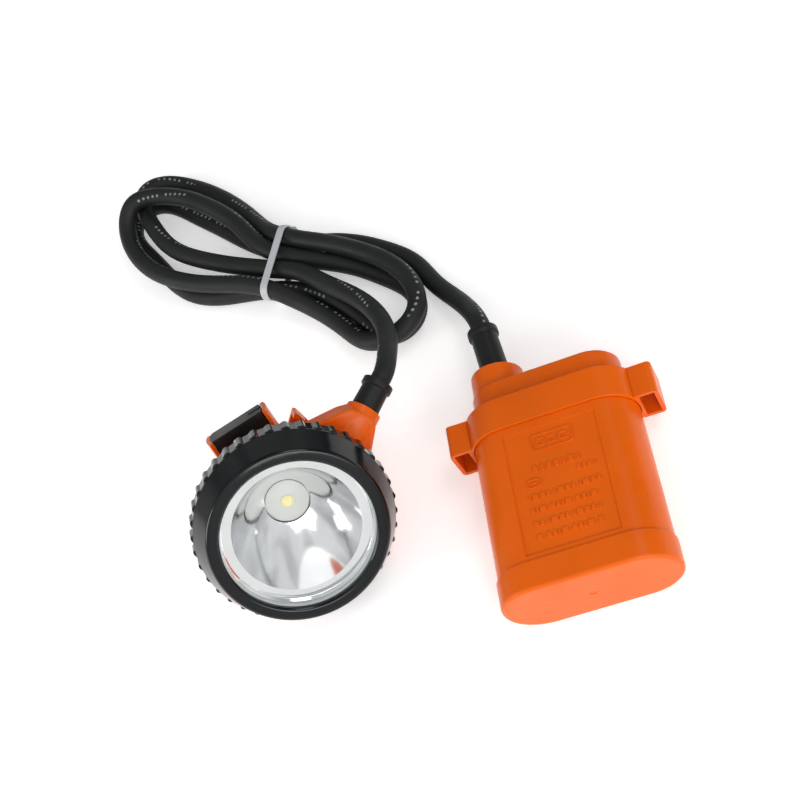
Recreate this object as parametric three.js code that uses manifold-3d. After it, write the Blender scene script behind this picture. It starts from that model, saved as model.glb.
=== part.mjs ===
// A miner's cap lamp: a belt-worn battery pack lying on its back, a lamp head lying beside it
// with its lens tilted up, and the cord between them gathered into a tied hank.
// Millimetres, +Z up. The origin is the bottom centre of the rigid pieces' box.
// The battery pack stands along +Y, from its base cap to its cable end.

import * as THREE from 'three';
import { mergeVertices } from 'three/addons/utils/BufferGeometryUtils.js';
import Module from 'manifold-3d';

const wasm = await Module();
wasm.setup();

// ---------- driving dimensions ----------

const GAP = 0.3; // clearance left between pieces that touch
const ROUND = 40; // segments of a large round piece
const SMALL_ROUND = 20; // segments of a small round piece

// places of the two halves: the pack's middle line, and the lamp's face centre
const PACK_X = 53.2;
const ORIGIN_Y = 65.5;
const LAMP_FACE = new THREE.Vector3(PACK_X - 104, 45.1 - ORIGIN_Y, 46.1);
const LAMP_AXIS = new THREE.Vector3(0.322, -0.793, 0.517).normalize(); // out of the lens
const LAMP_UP = new THREE.Vector3(-0.118, 0.508, 0.853); // from the lens towards the switch

// battery pack
const CASE = { width: 70, thick: 32.4, wall: 2.2, bottom: 12, top: 83, draft: 0.015 };
const BASE = { width: 71.6, thick: 34.2, wall: 2.4, height: 11.7, edge: 1.6 };
const BAND = { width: 72.2, thick: 34.8, bottom: 70.9, top: 85, plate: 1.6 };
const COVER = { width: 63, thick: 27, bottom: 86.2, top: 96.2, wall: 2, edge: 1.6 };
const BOSS = { x: -19.6, radius: 11.5, top: 106.4, bore: 6.2 };
const LOOP = { inner: 34.2, outer: 43.8, low: 8, high: 26, wall: 1.8 };
const PANEL = { width: 38, bottom: 14.2, top: 67, depth: 0.7 };
const CELL = { radius: 9.2, length: 65, pitch: 19, bottom: 8.4 };
const PACK_Z = BAND.thick / 2;

// lamp head, depths counted back from the face
const FACE = { radius: 36.9, opening: 31.5, lip: 2.4 };
const BEZEL = { side: 41.2, rib: 42.3, ribTop: 11.5, back: 19.2, neckBore: 38.3, ribs: 40 };
const LENS = { radius: 34.2, front: 2.7, thick: 2.4 };
const NECK = { radius: 37.9, bore: 35.4, front: 8.8, shoulder: 20.6, shoulderRadius: 38.9 };
const SHELL = { backDepth: 51.6, backRadius: 21.4, wall: 2.6 };
const REFLECTOR = { focus: 5, vertex: 42, mouth: 7.2, wall: 1.4, flange: 33.8 };
const KNOB = { x: 1, depth: 36.4, deck: 33, top: 41.8, length: 24.4, bar: 9.5, disc: 11.4 };
const KNOB_TURN = { shaft: 2.8, bore: 3.1 };
const EAR = { inner: 12.7, outer: 14.3, halfAngle: 0.38 };

// cable exits: where each sleeve leaves its boss, and the way it points
const SLEEVE = { radius: 5.9, lip: 6.7, lipLength: 3.4 };
const LAMP_EXIT = new THREE.Vector3(PACK_X - 73.9, 100.3 - ORIGIN_Y, 34.8);
const LAMP_EXIT_DIR = new THREE.Vector3(0.6, 0.8, 0);
const LAMP_SLEEVE_LENGTH = 13.4;
const PACK_SLEEVE_LENGTH = 24.6;
const PACK_SLEEVE_LEAN = 0.1;

// the cord
const CORD_RADIUS = 4.35;
const HANK = { x: PACK_X - 115, y: 212 - ORIGIN_Y, turn: -0.626, height: 26.8, low: 17.6, waist: 17 };
const HANK_LEFT = { x: -65, y: 6, radius: 39 };
const HANK_RIGHT = { x: 53, y: 0, radius: 31.5 };
const TIE = { width: 3.6, thick: 1.1, low: 0.1, high: 19, half: 19.6 };
// the free leads, from the pack's sleeve and the lamp's sleeve to the hank
const PACK_LEAD = [
  [31.1, 65.8, 17.4],
  [30.8, 68.5, 17.3],
  [29.9, 72.5, 16.4],
  [27.7, 79, 13.7],
  [24.2, 87, 10.2],
  [19.2, 96, 7],
  [15, 102.7, 5.4],
];
const LAMP_LEAD = [
  [-12.3, 46, 34.8],
  [-10.1, 49.4, 34.6],
  [-8.8, 54.5, 33],
  [-8.6, 61, 30.4],
  [-8.7, 68.6, 27],
  [-9.3, 76.4, 24],
  [-10.5, 83.6, 22.3],
];

// fastenings and the hook
const COVER_SCREWS = [4, 25];
const STUDS = [{ x: -1.5, depth: 22.3 }];
// hook screws sit on the back, along the hook's direction
const HOOK_ANGLE = 0.74;
const HOOK_SCREWS = [-9, 9];
const HOOK = { width: 11, reach: 35.4, plate: 2.2, low: -15, lip: 8, slant: 30 };
// the hook's screws are countersunk: head radii and height, and the depth under the plate's face
const HOOK_HEAD = { inner: 1.5, outer: 2.6, height: 1.4, sunk: 0.1 };

// ---------- materials ----------

function plastic(color, roughness) {
  return new THREE.MeshStandardMaterial({ color, roughness, metalness: 0 });
}

function metal(color, roughness) {
  return new THREE.MeshStandardMaterial({ color, roughness, metalness: 1 });
}

const LOOKS = {
  orange: () => plastic(0xf0641e, 0.42),
  glossBlack: () => plastic(0x15171a, 0.18),
  black: () => plastic(0x1c1d1f, 0.5),
  rubber: () => plastic(0x222426, 0.7),
  clear: () => plastic(0xe6f0f2, 0.05),
  white: () => plastic(0xf2f2ee, 0.5),
  yellow: () => plastic(0xe8e08a, 0.35),
  green: () => plastic(0x1f6b3a, 0.5),
  blue: () => plastic(0x2b5fa8, 0.4),
  tie: () => plastic(0xdde0e2, 0.45),
  mirror: () => metal(0xd9dcdf, 0.08),
  aluminium: () => metal(0xb9bcc0, 0.35),
  brass: () => metal(0xb98a4a, 0.3),
  steel: () => metal(0x9a9da1, 0.3),
  nickel: () => metal(0xc4c3bd, 0.3),
};

// ---------- geometry helpers ----------

// A closed geometry as a solid that can be joined and cut.
function toSolid(geometry) {
  const bare = geometry.clone();
  bare.deleteAttribute('normal');
  bare.deleteAttribute('uv');
  const merged = mergeVertices(bare, 1e-4);
  const index = Array.from(merged.index.array);
  const kept = [];
  for (let i = 0; i < index.length; i += 3) {
    const [a, b, c] = index.slice(i, i + 3);
    if (a !== b && b !== c && c !== a) kept.push(a, b, c);
  }
  return new wasm.Manifold(new wasm.Mesh({
    numProp: 3,
    vertProperties: new Float32Array(merged.attributes.position.array),
    triVerts: new Uint32Array(kept),
  }));
}

function toGeometry(solid) {
  const mesh = solid.getMesh();
  const geometry = new THREE.BufferGeometry();
  geometry.setAttribute('position', new THREE.BufferAttribute(mesh.vertProperties, 3));
  geometry.setIndex(new THREE.BufferAttribute(mesh.triVerts, 1));
  geometry.computeVertexNormals();
  return geometry;
}

function join(...solids) {
  return solids.reduce((whole, piece) => whole.add(piece));
}

function cut(solid, ...tools) {
  return tools.reduce((rest, tool) => rest.subtract(tool), solid);
}

// A box given by its lowest and highest corners.
function box(low, high) {
  const size = low.map((value, axis) => high[axis] - value);
  const geometry = new THREE.BoxGeometry(...size);
  geometry.translate(...low.map((value, axis) => (value + high[axis]) / 2));
  return toSolid(geometry);
}

// A rectangle with round corners, centred on the origin.
function roundedRectangle(width, height, radius) {
  const x = width / 2 - radius;
  const y = height / 2 - radius;
  const shape = new THREE.Shape();
  shape.absarc(x, y, radius, 0, Math.PI / 2, false);
  shape.absarc(-x, y, radius, Math.PI / 2, Math.PI, false);
  shape.absarc(-x, -y, radius, Math.PI, Math.PI * 1.5, false);
  shape.absarc(x, -y, radius, Math.PI * 1.5, Math.PI * 2, false);
  return shape;
}

// An outline drawn in X and Z, drawn out along Y from bottom to top.
function alongY(shape, bottom, top, curveSegments = 8) {
  const options = { depth: top - bottom, bevelEnabled: false, curveSegments };
  const geometry = new THREE.ExtrudeGeometry(shape, options);
  geometry.rotateX(Math.PI / 2);
  geometry.translate(0, top, 0);
  return geometry;
}

// A slab with round short sides, standing along Y, as the pack's housings are.
function housing(width, thick, bottom, top) {
  return toSolid(alongY(roundedRectangle(width, thick, thick * 0.49), bottom, top));
}

// The same slab with both its ends rounded over.
function softHousing(width, thick, bottom, top, edge) {
  const inset = 2 * edge;
  const shape = roundedRectangle(width - inset, thick - inset, (thick - inset) * 0.49);
  const geometry = new THREE.ExtrudeGeometry(shape, {
    depth: top - bottom - inset,
    bevelEnabled: true,
    bevelThickness: edge,
    bevelSize: edge,
    bevelSegments: 3,
    curveSegments: 8,
  });
  geometry.rotateX(Math.PI / 2);
  geometry.translate(0, top - edge, 0);
  return toSolid(geometry);
}

// Narrows a housing towards its cable end, by the draft of its mould.
function drafted(solid, from, draft, length) {
  return solid.warp((point) => {
    const scale = 1 - draft * Math.max(0, point[1] - from) / length;
    point[0] *= scale;
    point[2] *= scale;
  });
}

// A turned piece about local Z from a closed profile of [radius, depth behind the face].
function turned(profile, segments = ROUND) {
  const points = profile.map(([radius, depth]) => new THREE.Vector2(radius, -depth));
  const area = points.reduce((sum, point, i) => {
    const next = points[(i + 1) % points.length];
    return sum + point.x * next.y - next.x * point.y;
  }, 0);
  if (area < 0) points.reverse();
  const onAxis = points.some((point) => point.x === 0);
  if (onAxis) {
    while (points[0].x !== 0 || points[points.length - 1].x !== 0) points.push(points.shift());
  } else {
    points.push(points[0].clone());
  }
  const geometry = new THREE.LatheGeometry(points, segments);
  geometry.rotateX(Math.PI / 2);
  return toSolid(geometry);
}

// A round bar between two points.
function bar(from, to, radius, segments = SMALL_ROUND, endRadius = radius) {
  const way = new THREE.Vector3().subVectors(to, from);
  const geometry = new THREE.CylinderGeometry(endRadius, radius, way.length(), segments);
  const turn = new THREE.Quaternion().setFromUnitVectors(
    new THREE.Vector3(0, 1, 0),
    way.clone().normalize(),
  );
  geometry.applyQuaternion(turn);
  geometry.translate(...from.clone().add(to).multiplyScalar(0.5).toArray());
  return toSolid(geometry);
}

function barY(x, z, radius, from, to, segments = SMALL_ROUND, endRadius = radius) {
  const start = new THREE.Vector3(x, from, z);
  return bar(start, new THREE.Vector3(x, to, z), radius, segments, endRadius);
}

// A round cord along a smooth curve through the given points.
function cordTube(points, radius, sides, steps) {
  const curve = new THREE.CatmullRomCurve3(points, false, 'centripetal');
  const section = new THREE.Shape();
  for (let i = 0; i < sides; i += 1) {
    const angle = 2 * Math.PI * i / sides;
    const x = radius * Math.cos(angle);
    const y = radius * Math.sin(angle);
    if (i === 0) section.moveTo(x, y);
    else section.lineTo(x, y);
  }
  section.closePath();
  return new THREE.ExtrudeGeometry(section, { steps, extrudePath: curve, bevelEnabled: false });
}

function named(name, shape, look) {
  const geometry = shape instanceof THREE.BufferGeometry ? shape : toGeometry(shape);
  const mesh = new THREE.Mesh(geometry, LOOKS[look]());
  mesh.name = name;
  return mesh;
}

// ---------- battery pack, in its own frame: X across, Y up the pack, Z through it ----------

function makeBaseCap() {
  const rounded = softHousing(BASE.width, BASE.thick, 0, BASE.height + 4, BASE.edge);
  const trim = box([-50, BASE.height, -30], [50, BASE.height + 10, 30]);
  const inside = housing(
    BASE.width - 2 * BASE.wall,
    BASE.thick - 2 * BASE.wall,
    BASE.wall,
    BASE.height + 1,
  );
  const gateMark = barY(0, 0, 1.6, -0.5, 0.25, 12);
  return cut(rounded, trim, inside, gateMark);
}

function makeCase() {
  const length = CASE.top - CASE.bottom;
  const outside = housing(CASE.width, CASE.thick, CASE.bottom, CASE.top);
  const inside = housing(
    CASE.width - 2 * CASE.wall,
    CASE.thick - 2 * CASE.wall,
    CASE.bottom - 1,
    CASE.top + 1,
  );
  const shell = drafted(cut(outside, inside), CASE.bottom, CASE.draft, length);
  const half = PANEL.width / 2;
  const face = CASE.thick / 2 - PANEL.depth;
  return cut(shell, box([-half, PANEL.bottom, face], [half, PANEL.top, face + 5]));
}

function makeLoop(side) {
  const [low, high] = [LOOP.low - PACK_Z, LOOP.high - PACK_Z];
  const span = (from, to) => (side > 0 ? [from, to] : [-to, -from]);
  const [x1, x2] = span(LOOP.inner, LOOP.outer);
  const [hole1, hole2] = span(LOOP.inner + LOOP.wall, LOOP.outer - LOOP.wall);
  const block = box([x1, BAND.bottom, low], [x2, BAND.top, high]);
  const slot = box(
    [hole1, BAND.bottom - 1, low + LOOP.wall],
    [hole2, BAND.top + 1, high - LOOP.wall],
  );
  return { block, slot };
}

function makeBand() {
  const skirt = housing(BAND.width, BAND.thick, BAND.bottom, BAND.top);
  const pocket = housing(
    CASE.width * 0.9886 + 2 * GAP,
    CASE.thick * 0.9886 + 2 * GAP,
    BAND.bottom - 1,
    BAND.top - BAND.plate,
  );
  const throat = housing(COVER.width - 6, COVER.thick - 6, BAND.bottom, BAND.top + 1);
  const loops = [1, -1].map(makeLoop);
  const body = cut(join(skirt, ...loops.map((loop) => loop.block)), pocket, throat);
  return cut(body, ...loops.map((loop) => loop.slot));
}

function makeTopCover() {
  const rounded = softHousing(COVER.width, COVER.thick, COVER.bottom - 4, COVER.top, COVER.edge);
  const trim = box([-50, COVER.bottom - 10, -30], [50, COVER.bottom, 30]);
  const inside = housing(
    COVER.width - 2 * COVER.wall - 4,
    COVER.thick - 2 * COVER.wall - 4,
    COVER.bottom - 1,
    COVER.top - COVER.wall,
  );
  const boss = barY(BOSS.x, 0, BOSS.radius, COVER.bottom, BOSS.top, 28, BOSS.radius - 0.4);
  const bore = barY(BOSS.x, 0, BOSS.bore, COVER.bottom - 1, BOSS.top + 1, 24);
  const holes = COVER_SCREWS.map((x) => barY(x, 0, 1.8, COVER.bottom - 1, COVER.top + 1, 16));
  return cut(join(cut(rounded, trim, inside), boss), bore, ...holes);
}

// A small pan-head screw along Y with a cross recess, its head's underside at the given height.
function makeCoverScrew(x) {
  const head = barY(x, 0, 2.9, COVER.top + GAP, COVER.top + 2, SMALL_ROUND, 2.3);
  const shank = barY(x, 0, 1.45, COVER.top - 8, COVER.top + 1, 14);
  const y = COVER.top + 1.1;
  const recess = join(
    box([x - 1.5, y, -0.35], [x + 1.5, y + 2, 0.35]),
    box([x - 0.35, y, -1.5], [x + 0.35, y + 2, 1.5]),
  );
  return cut(join(head, shank), recess);
}

function makeCoverSeal() {
  const bottom = BAND.top + GAP;
  const top = COVER.bottom - GAP;
  const outside = housing(COVER.width - 1.2, COVER.thick - 1.2, bottom, top);
  return cut(outside, housing(COVER.width - 5.6, COVER.thick - 5.6, bottom - 1, top + 1));
}

function makeCell(x) {
  const top = CELL.bottom + CELL.length;
  const can = barY(x, 0, CELL.radius, CELL.bottom, top - 1, 28);
  return join(can, barY(x, 0, 3, top - 2, top, 16));
}

function makeCellHolder(bottom) {
  const plate = housing(62, 26, bottom, bottom + 3.2);
  const pegs = [-1, 1].map((side) => barY(side * CELL.pitch / 2, 10.4, 1.6, bottom - 1, bottom + 5));
  return cut(plate, ...pegs);
}

function makeNickelStrip(y) {
  return box([-CELL.pitch - 5, y, -4], [CELL.pitch + 5, y + 0.4, 4]);
}

function makeProtectionBoard() {
  const y = 79.2;
  const board = box([-22, y, -9], [22, y + 1.6, 9]);
  const chips = [-15, -4, 8].map((x) => box([x, y + 1.5, -4], [x + 6, y + 2.8, 3]));
  const slot = box([18, y - 1, -2], [23, y + 3, 2]);
  return cut(join(board, ...chips), slot);
}

// A sleeve along +Z of its own frame, leaning over by an angle: a push-in root, then the
// plain sleeve and its end lip.
function makeSleeve(rootDepth, length, lean) {
  const lipStart = length - SLEEVE.lipLength;
  const root = turned([[0, rootDepth], [SLEEVE.radius, rootDepth], [SLEEVE.radius, -1.2], [0, -1.2]], 24);
  const outer = turned([
    [0, -0.7],
    [SLEEVE.radius, -0.7],
    [SLEEVE.radius, -lipStart],
    [SLEEVE.lip, -lipStart - 0.6],
    [SLEEVE.lip, 0.5 - length],
    [SLEEVE.lip - 0.6, -length],
    [0, -length],
  ], 24);
  return join(root, outer.rotate([0, -lean * 180 / Math.PI, 0]));
}

function makePack() {
  const pack = new THREE.Group();
  pack.position.set(PACK_X, -ORIGIN_Y, PACK_Z);
  pack.add(named('base_cap', makeBaseCap(), 'orange'));
  pack.add(named('battery_case', makeCase(), 'orange'));
  pack.add(named('loop_band', makeBand(), 'orange'));
  pack.add(named('top_cover', makeTopCover(), 'orange'));
  pack.add(named('cover_seal', makeCoverSeal(), 'black'));
  COVER_SCREWS.forEach((x, i) => {
    pack.add(named(`cover_screw_${i + 1}`, makeCoverScrew(x), 'steel'));
  });
  [-1, 0, 1].forEach((place, i) => {
    pack.add(named(`cell_${i + 1}`, makeCell(place * CELL.pitch), 'blue'));
  });
  pack.add(named('cell_holder_bottom', makeCellHolder(3.8), 'black'));
  pack.add(named('cell_holder_top', makeCellHolder(74.7), 'black'));
  pack.add(named('nickel_strip_bottom', makeNickelStrip(7.5), 'nickel'));
  pack.add(named('nickel_strip_top', makeNickelStrip(73.8), 'nickel'));
  pack.add(named('protection_board', makeProtectionBoard(), 'green'));
  const relief = makeSleeve(6, PACK_SLEEVE_LENGTH, PACK_SLEEVE_LEAN);
  const sleeve = named('pack_strain_relief', relief, 'rubber');
  sleeve.position.set(BOSS.x, BOSS.top, 0);
  sleeve.rotation.x = -Math.PI / 2;
  pack.add(sleeve);
  return pack;
}

// ---------- lamp head, in its own frame: +Z out of the lens, +Y towards the switch ----------

function lampBasis() {
  const z = LAMP_AXIS.clone();
  const y = LAMP_UP.clone().addScaledVector(z, -LAMP_UP.dot(z)).normalize();
  const x = new THREE.Vector3().crossVectors(y, z);
  return new THREE.Matrix4().makeBasis(x, y, z).setPosition(LAMP_FACE);
}

const LAMP_MATRIX = lampBasis();

// A place or a way of the whole model, in the lamp's frame.
function intoLamp(point) {
  return point.clone().applyMatrix4(LAMP_MATRIX.clone().invert());
}

const EXIT_LOCAL = intoLamp(LAMP_EXIT);
const EXIT_DIR_LOCAL = intoLamp(LAMP_EXIT.clone().add(LAMP_EXIT_DIR)).sub(EXIT_LOCAL);

function along(distance) {
  return EXIT_LOCAL.clone().addScaledVector(EXIT_DIR_LOCAL, distance);
}

function makeBezel() {
  const ring = turned([
    [FACE.opening, 0.7],
    [FACE.opening + 0.8, 0],
    [FACE.radius - 0.8, 0],
    [FACE.radius, 0.8],
    [BEZEL.side - 0.3, BEZEL.ribTop - 0.6],
    [BEZEL.side, BEZEL.ribTop],
    [BEZEL.side, BEZEL.back],
    [BEZEL.neckBore, BEZEL.back],
    [BEZEL.neckBore, NECK.front - 0.4],
    [LENS.radius + GAP, NECK.front - 0.4],
    [LENS.radius + GAP, FACE.lip],
    [FACE.opening, FACE.lip],
  ], 80);
  const ribs = [];
  for (let i = 0; i < BEZEL.ribs; i += 1) {
    const rib = new THREE.Shape();
    rib.moveTo(BEZEL.side - 0.8, -1.6);
    rib.lineTo(BEZEL.rib, -0.7);
    rib.lineTo(BEZEL.rib, 0.5);
    rib.lineTo(BEZEL.side - 0.8, 2.2);
    rib.closePath();
    const depth = BEZEL.back - BEZEL.ribTop - 0.9;
    const geometry = new THREE.ExtrudeGeometry(rib, { depth, bevelEnabled: false });
    geometry.translate(0, 0, 0.3 - BEZEL.back);
    geometry.rotateZ(2 * Math.PI * i / BEZEL.ribs);
    ribs.push(toSolid(geometry));
  }
  return join(ring, ...ribs);
}

function makeLens() {
  const back = LENS.front + LENS.thick;
  return turned([
    [0, LENS.front],
    [LENS.radius - 0.4, LENS.front],
    [LENS.radius, LENS.front + 0.4],
    [LENS.radius, back],
    [0, back],
  ]);
}

function makeLensSeal() {
  const front = LENS.front + LENS.thick + GAP;
  return turned([
    [31.6, front],
    [LENS.radius, front],
    [LENS.radius, front + 1.1],
    [31.6, front + 1.1],
  ]);
}

// Radius of the parabolic bowl at a depth behind the face.
function bowl(depth) {
  return Math.sqrt(4 * REFLECTOR.focus * (REFLECTOR.vertex - depth));
}

function makeReflector() {
  const steps = 9;
  const end = 37.2;
  const inside = [];
  const outside = [];
  for (let i = 0; i <= steps; i += 1) {
    const depth = REFLECTOR.mouth + (end - REFLECTOR.mouth) * i / steps;
    inside.push([bowl(depth), depth]);
    outside.push([bowl(depth) + REFLECTOR.wall, Math.max(depth, REFLECTOR.mouth + 1.2)]);
  }
  const rim = [
    [REFLECTOR.flange, REFLECTOR.mouth + 1.2],
    [REFLECTOR.flange, REFLECTOR.mouth - 0.1],
    [31, REFLECTOR.mouth - 0.1],
  ];
  return turned([...inside, ...outside.reverse(), ...rim], 48);
}

function makeShellBody() {
  const inset = SHELL.wall;
  const { shoulder, shoulderRadius } = NECK;
  const { backDepth, backRadius } = SHELL;
  const outside = turned([
    [0, NECK.front],
    [NECK.radius, NECK.front],
    [NECK.radius, shoulder],
    [shoulderRadius, shoulder],
    [shoulderRadius, shoulder + 0.9],
    [25.1, backDepth - 4.4],
    [23.2, backDepth - 1.6],
    [backRadius, backDepth],
    [0, backDepth],
  ], 64);
  const inside = turned([
    [0, NECK.front - 1],
    [NECK.bore, NECK.front - 1],
    [NECK.bore, shoulder + 1.4],
    [25.1 - inset, backDepth - 5],
    [backRadius - inset, backDepth - inset],
    [0, backDepth - inset],
  ], 64);
  return { outside, inside };
}

// The round turret that carries the knob, with an ear at each end of the resting bar.
function makeTurret() {
  const centre = [KNOB.x, -KNOB.depth];
  const wall = new THREE.Shape();
  wall.absarc(0, 0, EAR.outer, 0, Math.PI * 2, false);
  const stand = toSolid(alongY(wall, 14, KNOB.deck, 14));
  const ears = [0, Math.PI].map((middle) => {
    const ear = new THREE.Shape();
    ear.absarc(0, 0, EAR.outer, middle - EAR.halfAngle, middle + EAR.halfAngle, false);
    ear.absarc(0, 0, EAR.inner, middle + EAR.halfAngle, middle - EAR.halfAngle, true);
    ear.closePath();
    return toSolid(alongY(ear, KNOB.deck - 2, KNOB.top - 0.3, 5));
  });
  return join(stand, ...ears).translate([centre[0], 0, centre[1]]);
}

// The block that the cord enters by, with a flat front and a web towards the hook.
function makeCordBoss() {
  const barrel = bar(along(-22), along(0), 7.5, 28);
  const outline = new THREE.Shape();
  outline.moveTo(24, 24.5);
  outline.lineTo(29, 24);
  outline.lineTo(38.6, 22.8);
  outline.lineTo(44, 21);
  outline.lineTo(46.8, 17.6);
  outline.lineTo(49.6, 12);
  outline.lineTo(47.6, 8.2);
  outline.lineTo(41, 0.6);
  outline.lineTo(30, -1);
  outline.lineTo(20, 8);
  outline.closePath();
  const options = { depth: 8, bevelEnabled: true, bevelThickness: 1, bevelSize: 1, bevelSegments: 1 };
  const block = new THREE.ExtrudeGeometry(outline, { ...options, bevelOffset: -1 });
  block.translate(0, 0, -40);
  const trim = bar(along(0), along(30), 40, 8);
  return cut(join(barrel, toSolid(block)), trim);
}

function makeShell() {
  const { outside, inside } = makeShellBody();
  const knobWay = barY(KNOB.x, -KNOB.depth, EAR.inner, KNOB.deck, 60, 32);
  const shaftBore = barY(KNOB.x, -KNOB.depth, KNOB_TURN.bore, 0, 60, 20);
  const ahead = box([-80, -80, -NECK.shoulder], [80, 80, 20]);
  const added = cut(join(makeTurret(), makeCordBoss()), ahead);
  const cordBore = bar(along(-30), along(5), BOSS.bore, 24);
  const studBores = STUDS.map(({ x, depth }) => barY(x, -depth, 1.3, 30, 60, 14));
  const body = cut(join(cut(outside, knobWay), added), inside, cordBore, shaftBore, ...studBores);
  return cut(body, ...HOOK_SCREWS.map((place) => hookScrewBar(place, 1.75, 40, 60)));
}

function makeStud({ x, depth }) {
  const shank = barY(x, -depth, 1, 33.6, 39.2, 14);
  return join(shank, barY(x, -depth, 1.5, 39, 40.4, 14, 0.9));
}

function makeKnob() {
  const half = KNOB.length / 2;
  const flat = Math.sqrt(half * half - (KNOB.bar / 2) ** 2);
  const tip = Math.atan2(KNOB.bar / 2, flat);
  const plan = new THREE.Shape();
  plan.absarc(0, 0, half, -tip, tip, false);
  plan.absarc(0, 0, half, Math.PI - tip, Math.PI + tip, false);
  plan.closePath();
  const grip = toSolid(alongY(plan, KNOB.deck + 2, KNOB.top, 5));
  const disc = barY(0, 0, KNOB.disc, KNOB.deck + GAP, KNOB.deck + 2.4, 32);
  const bore = barY(0, 0, KNOB_TURN.bore, KNOB.deck - 1, KNOB.top - 2.4, 20);
  const mark = box([half - 6, KNOB.top - 0.5, -0.6], [half + 1, KNOB.top + 1, 0.6]);
  return cut(join(grip, disc), bore, mark).translate([KNOB.x, 0, -KNOB.depth]);
}

function makeShaft() {
  return barY(KNOB.x, -KNOB.depth, KNOB_TURN.shaft, 19.4, KNOB.top - 2.8, 20);
}

function makeSwitchBody() {
  const block = box(
    [KNOB.x - 8, 17.6, -KNOB.depth - 5],
    [KNOB.x + 8, 22.4, -KNOB.depth + 5],
  );
  return cut(block, barY(KNOB.x, -KNOB.depth, KNOB_TURN.bore, 19, 30, 20));
}

function hookPoint(distance, depth) {
  const x = distance * Math.cos(HOOK_ANGLE);
  const y = distance * Math.sin(HOOK_ANGLE);
  return new THREE.Vector3(x, y, -depth);
}

function hookScrewBar(place, radius, from, to) {
  return bar(hookPoint(place, from), hookPoint(place, to), radius, 14);
}

function makeHook() {
  const front = SHELL.backDepth + GAP;
  const back = front + HOOK.plate;
  const half = HOOK.width / 2;
  const plate = box([HOOK.low, -half, -back], [HOOK.reach, half, -front]);
  const lip = box([HOOK.reach - 2.4, -half, -back], [HOOK.reach, half, -back + HOOK.lip]);
  const beyond = box([0, -30, -back - 1], [30, 30, 0]);
  const slant = beyond.rotate([0, 0, -HOOK.slant]).translate([HOOK.reach, half - 1.5, 0]);
  const piece = cut(join(plate, lip), slant);
  const turnedPiece = piece.rotate([0, 0, HOOK_ANGLE * 180 / Math.PI]);
  const holes = HOOK_SCREWS.map((place) => hookScrewBar(place, 1.75, 40, 60));
  const sinks = HOOK_SCREWS.map((place) =>
    bar(hookPoint(place, back - 1.8), hookPoint(place, back + 0.2), 1.65, 18, 3.22));
  return cut(turnedPiece, ...holes, ...sinks);
}

function makeHookScrew(place) {
  const top = SHELL.backDepth + GAP + HOOK.plate - HOOK_HEAD.sunk;
  const seat = top - HOOK_HEAD.height;
  const head = bar(hookPoint(place, seat), hookPoint(place, top), HOOK_HEAD.inner, 18, HOOK_HEAD.outer);
  const shank = bar(hookPoint(place, SHELL.backDepth - 2.2), hookPoint(place, seat + 0.4), 1.4, 14);
  return join(head, shank);
}

function makeHeadSeal() {
  return turned([
    [NECK.radius + GAP, BEZEL.back + GAP],
    [BEZEL.side - 1, BEZEL.back + GAP],
    [BEZEL.side - 1, NECK.shoulder - GAP],
    [NECK.radius + GAP, NECK.shoulder - GAP],
  ]);
}

function disc(radius, front, back, segments) {
  return turned([[0, front], [radius, front], [radius, back], [0, back]], segments);
}

function makeLamp() {
  const lamp = new THREE.Group();
  lamp.applyMatrix4(LAMP_MATRIX);
  lamp.add(named('lamp_shell', makeShell(), 'orange'));
  lamp.add(named('bezel_ring', makeBezel(), 'glossBlack'));
  lamp.add(named('lens', makeLens(), 'clear'));
  lamp.add(named('lens_seal', makeLensSeal(), 'black'));
  lamp.add(named('head_seal', makeHeadSeal(), 'black'));
  lamp.add(named('reflector', makeReflector(), 'mirror'));
  lamp.add(named('led_board', disc(9.3, 37.6, 39.2, 32), 'white'));
  lamp.add(named('led_emitter', disc(2.6, 36.2, 37.3, 20), 'yellow'));
  lamp.add(named('heat_sink', disc(12, 39.5, 44, 32), 'aluminium'));
  lamp.add(named('driver_board', disc(14, 44.3, 45.9, 32), 'green'));
  lamp.add(named('switch_knob', makeKnob(), 'black'));
  lamp.add(named('switch_shaft', makeShaft(), 'steel'));
  lamp.add(named('switch_body', makeSwitchBody(), 'black'));
  STUDS.forEach((stud, i) => lamp.add(named(`charge_stud_${i + 1}`, makeStud(stud), 'brass')));
  lamp.add(named('helmet_hook', makeHook(), 'orange'));
  HOOK_SCREWS.forEach((place, i) => {
    lamp.add(named(`hook_screw_${i + 1}`, makeHookScrew(place), 'steel'));
  });
  return lamp;
}

// ---------- cord: two free leads and the hank between them ----------

function makeLampSleeve() {
  const sleeve = named('lamp_strain_relief', makeSleeve(8, LAMP_SLEEVE_LENGTH, 0), 'rubber');
  sleeve.position.copy(LAMP_EXIT);
  sleeve.quaternion.setFromUnitVectors(new THREE.Vector3(0, 0, 1), LAMP_EXIT_DIR);
  return sleeve;
}

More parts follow.
